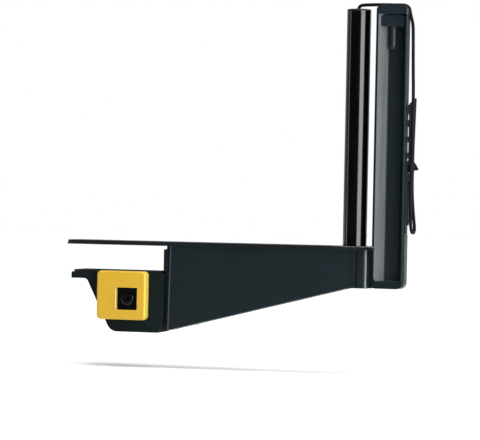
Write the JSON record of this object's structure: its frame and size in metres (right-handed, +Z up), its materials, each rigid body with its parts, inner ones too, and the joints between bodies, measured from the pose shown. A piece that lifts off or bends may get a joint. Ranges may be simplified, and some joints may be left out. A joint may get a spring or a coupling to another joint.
{
  "type": "table tennis net clamp",
  "caption": "Clamp that grips a table tennis table edge and holds one end of the net on a round rod, with a tension cord led over a tall post.",
  "frame": {"origin": "on the table top plane at the table side edge, in the plane of the net: the underside of the blade pad where it meets the edge buffer", "axes": "+X outward along the net line from the table edge to the post, +Y across the net away from the front face of the arm, +Z up from the table top"},
  "size_m": [0.2229, 0.0326, 0.2068],
  "materials": {
    "arm_plastic": "black glass-filled moulding with a fine grain",
    "jaw_plastic": "black moulding, finely grained",
    "yellow_plastic": "warm yellow moulding, satin",
    "post_plastic": "dark grey-green moulding, satin",
    "cap_plastic": "dark blue-grey moulding, satin",
    "blade_steel": "black powder-coated steel plate",
    "grip_rubber": "soft black rubber",
    "rod_gloss": "gloss black enamel on a steel tube",
    "rod_plug": "black moulding",
    "black_screws": "black oxide steel",
    "black_plate": "black coated steel",
    "zinc_steel": "zinc-plated steel",
    "brass": "turned brass",
    "wheel_plastic": "black moulded thumb wheel",
    "cleat_plastic": "dark moulding",
    "cord": "braided black polyester"
  },
  "bodies": {
    "frame": {"arm_body": "arm_plastic", "arm_cover": "arm_plastic", "cover_screw_1": "black_screws", "cover_screw_2": "black_screws", "cover_screw_3": "black_screws", "top_blade": "blade_steel", "blade_pad": "grip_rubber", "blade_screw_1": "black_screws", "blade_screw_2": "black_screws", "edge_buffer": "grip_rubber", "net_rod": "rod_gloss", "rod_base": "rod_plug", "rod_cap": "rod_plug", "rod_stud": "zinc_steel", "post_foot": "arm_plastic", "thrust_washer": "zinc_steel"},
    "jaw": {"jaw_body": "jaw_plastic", "jaw_pad": "grip_rubber", "jaw_block": "yellow_plastic", "key_plate": "black_plate", "jaw_bolt": "black_screws", "jaw_bolt_nut": "zinc_steel", "clamp_nut": "brass"},
    "clamp_screw": {"clamp_screw": "zinc_steel", "clamp_wheel": "wheel_plastic"},
    "post": {"post_body": "post_plastic", "post_cap": "cap_plastic", "cap_screw": "black_screws", "height_nut": "brass", "cord_cleat": "cleat_plastic", "cleat_screw_1": "black_screws", "cleat_screw_2": "black_screws", "tension_cord": "cord", "cord_knot": "cord", "cord_hitch": "cord"},
    "height_screw": {"height_screw": "zinc_steel", "height_clip": "zinc_steel"}
  },
  "joints": [
    {"name": "jaw_slide", "type": "slide", "parent": "frame", "child": "jaw", "axis": [0, 0, -1], "range_m": [0, 0.014]},
    {"name": "clamp_screw_turn", "type": "hinge", "parent": "frame", "child": "clamp_screw", "pos_m": [0.017, 0.003, -0.04], "axis": [0, 0, 1], "range_deg": [0, 4033]},
    {"name": "post_lift", "type": "slide", "parent": "frame", "child": "post", "axis": [0, 0, 1], "range_m": [0, 0.005]},
    {"name": "height_screw_turn", "type": "hinge", "parent": "frame", "child": "height_screw", "pos_m": [0.1446, 0.0025, -0.015], "axis": [0, 0, -1], "range_deg": [0, 2572]}
  ],
  "couplings": [
    {"joint": "clamp_screw_turn", "follows": "jaw_slide", "rad_per_m": 5026.5},
    {"joint": "height_screw_turn", "follows": "post_lift", "rad_per_m": 8976}
  ]
}
